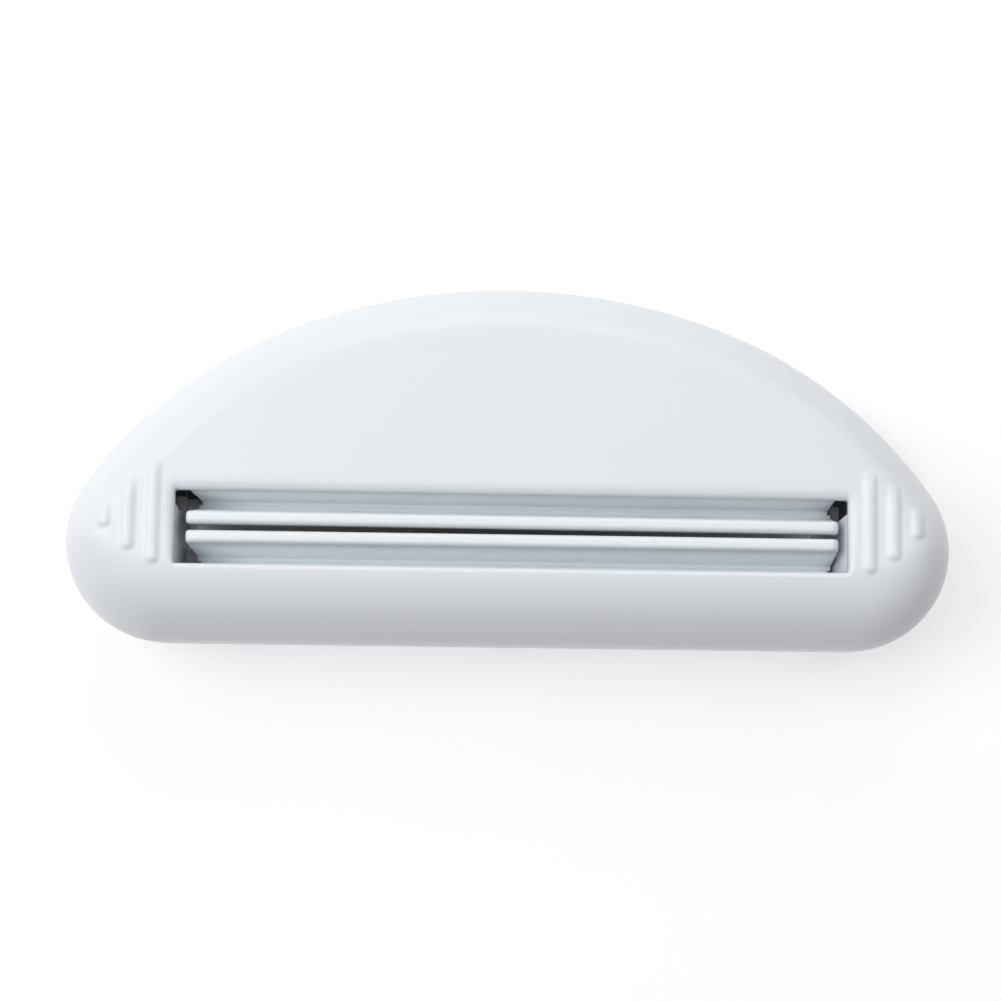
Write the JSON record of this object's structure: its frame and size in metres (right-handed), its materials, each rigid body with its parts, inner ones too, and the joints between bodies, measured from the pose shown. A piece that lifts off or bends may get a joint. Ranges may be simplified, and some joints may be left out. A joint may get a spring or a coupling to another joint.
{
  "type": "toothpaste dispenser",
  "caption": "Half-moon hand squeezer for toothpaste tubes: hollow moulded body with a long slot, a funnel at the back and sprung lips at the front.",
  "frame": {"origin": "centre of the bounding box in plan, at the flat back face that the object lies on", "axes": "+X along the length, +Y from the straight edge to the crown, +Z from the back face to the front face"},
  "size_m": [0.095, 0.0386, 0.0224],
  "materials": {
    "shell_plastic": "gloss white moulded plastic",
    "jaw_plastic": "satin white springy plastic"
  },
  "bodies": {
    "housing": {"front_shell": "shell_plastic", "rear_shell": "shell_plastic", "upper_jaw_mount": "jaw_plastic", "lower_jaw_mount": "jaw_plastic"},
    "upper_lip": {"upper_lip": "jaw_plastic"},
    "lower_lip": {"lower_lip": "jaw_plastic"}
  },
  "joints": [
    {"name": "upper_lip_fold", "type": "hinge", "parent": "housing", "child": "upper_lip", "pos_m": [0, -0.00504, 0.0134], "axis": [-1, 0, 0], "range_deg": [0, 9], "stiffness_Nm_per_rad": 0.1},
    {"name": "lower_lip_fold", "type": "hinge", "parent": "housing", "child": "lower_lip", "pos_m": [0, -0.01006, 0.0134], "axis": [1, 0, 0], "range_deg": [0, 9], "stiffness_Nm_per_rad": 0.1}
  ]
}
